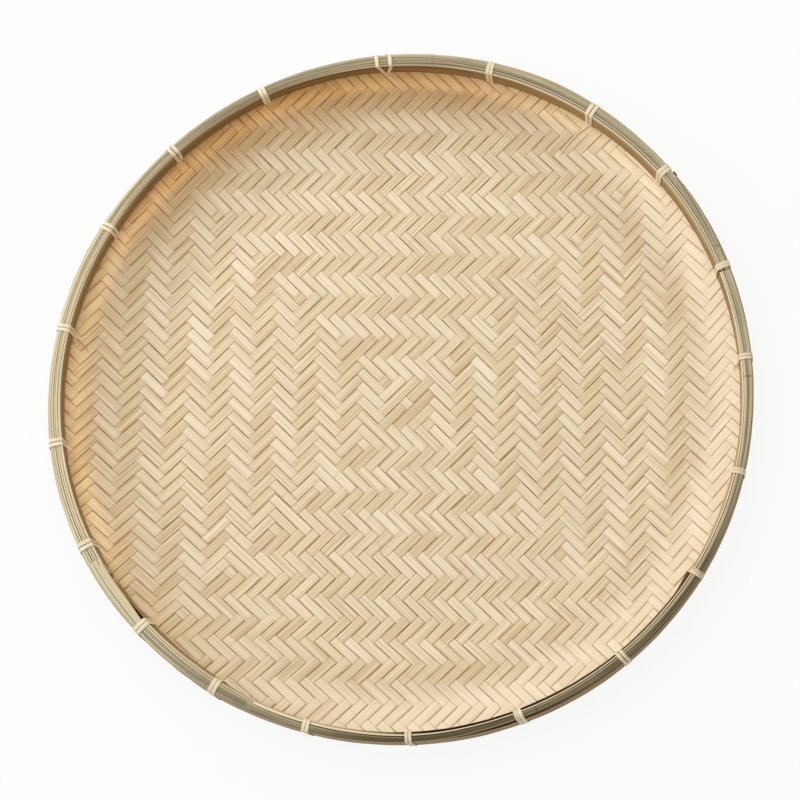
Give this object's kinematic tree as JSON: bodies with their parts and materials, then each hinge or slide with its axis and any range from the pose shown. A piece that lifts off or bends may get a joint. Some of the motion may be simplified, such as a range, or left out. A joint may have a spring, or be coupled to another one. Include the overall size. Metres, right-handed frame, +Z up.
{
  "type": "bamboo tray",
  "caption": "Round shallow winnowing tray: a herringbone-woven bamboo mat dished between two split-bamboo hoops, its edge capped with splints and tied with bamboo-skin lashings.",
  "frame": {"origin": "on the surface that the tray stands on, under the middle of its flat floor", "axes": "+Z up, out of the tray's open side; the weave's strips run at 45 degrees to +X and +Y"},
  "size_m": [0.5999, 0.6003, 0.0406],
  "materials": {
    "bamboo_mat": "flat bamboo strips with the skin planed off, unvarnished, satin along the fibres",
    "bamboo_hoop": "split bamboo, bare, fibrous, brown",
    "bamboo_skin": "olive-green bamboo skin, smooth, dull sheen, streaked along the fibres",
    "bamboo_lashing": "pale flat bamboo-skin strip, smooth satin"
  },
  "bodies": {
    "root": {"woven_mat": "bamboo_mat", "inner_hoop": "bamboo_hoop", "outer_hoop": "bamboo_hoop", "cap_strip_left": "bamboo_skin", "cap_strip_right": "bamboo_skin", "lashing_01": "bamboo_lashing", "lashing_02": "bamboo_lashing", "lashing_03": "bamboo_lashing", "lashing_04": "bamboo_lashing", "lashing_05": "bamboo_lashing", "lashing_06": "bamboo_lashing", "lashing_07": "bamboo_lashing", "lashing_08": "bamboo_lashing", "lashing_09": "bamboo_lashing", "lashing_10": "bamboo_lashing", "lashing_11": "bamboo_lashing", "lashing_12": "bamboo_lashing", "lashing_13": "bamboo_lashing", "lashing_14": "bamboo_lashing", "lashing_15": "bamboo_lashing", "lashing_16": "bamboo_lashing", "lashing_17": "bamboo_lashing", "lashing_18": "bamboo_lashing", "lashing_19": "bamboo_lashing", "lashing_20": "bamboo_lashing"}
  },
  "joints": []
}
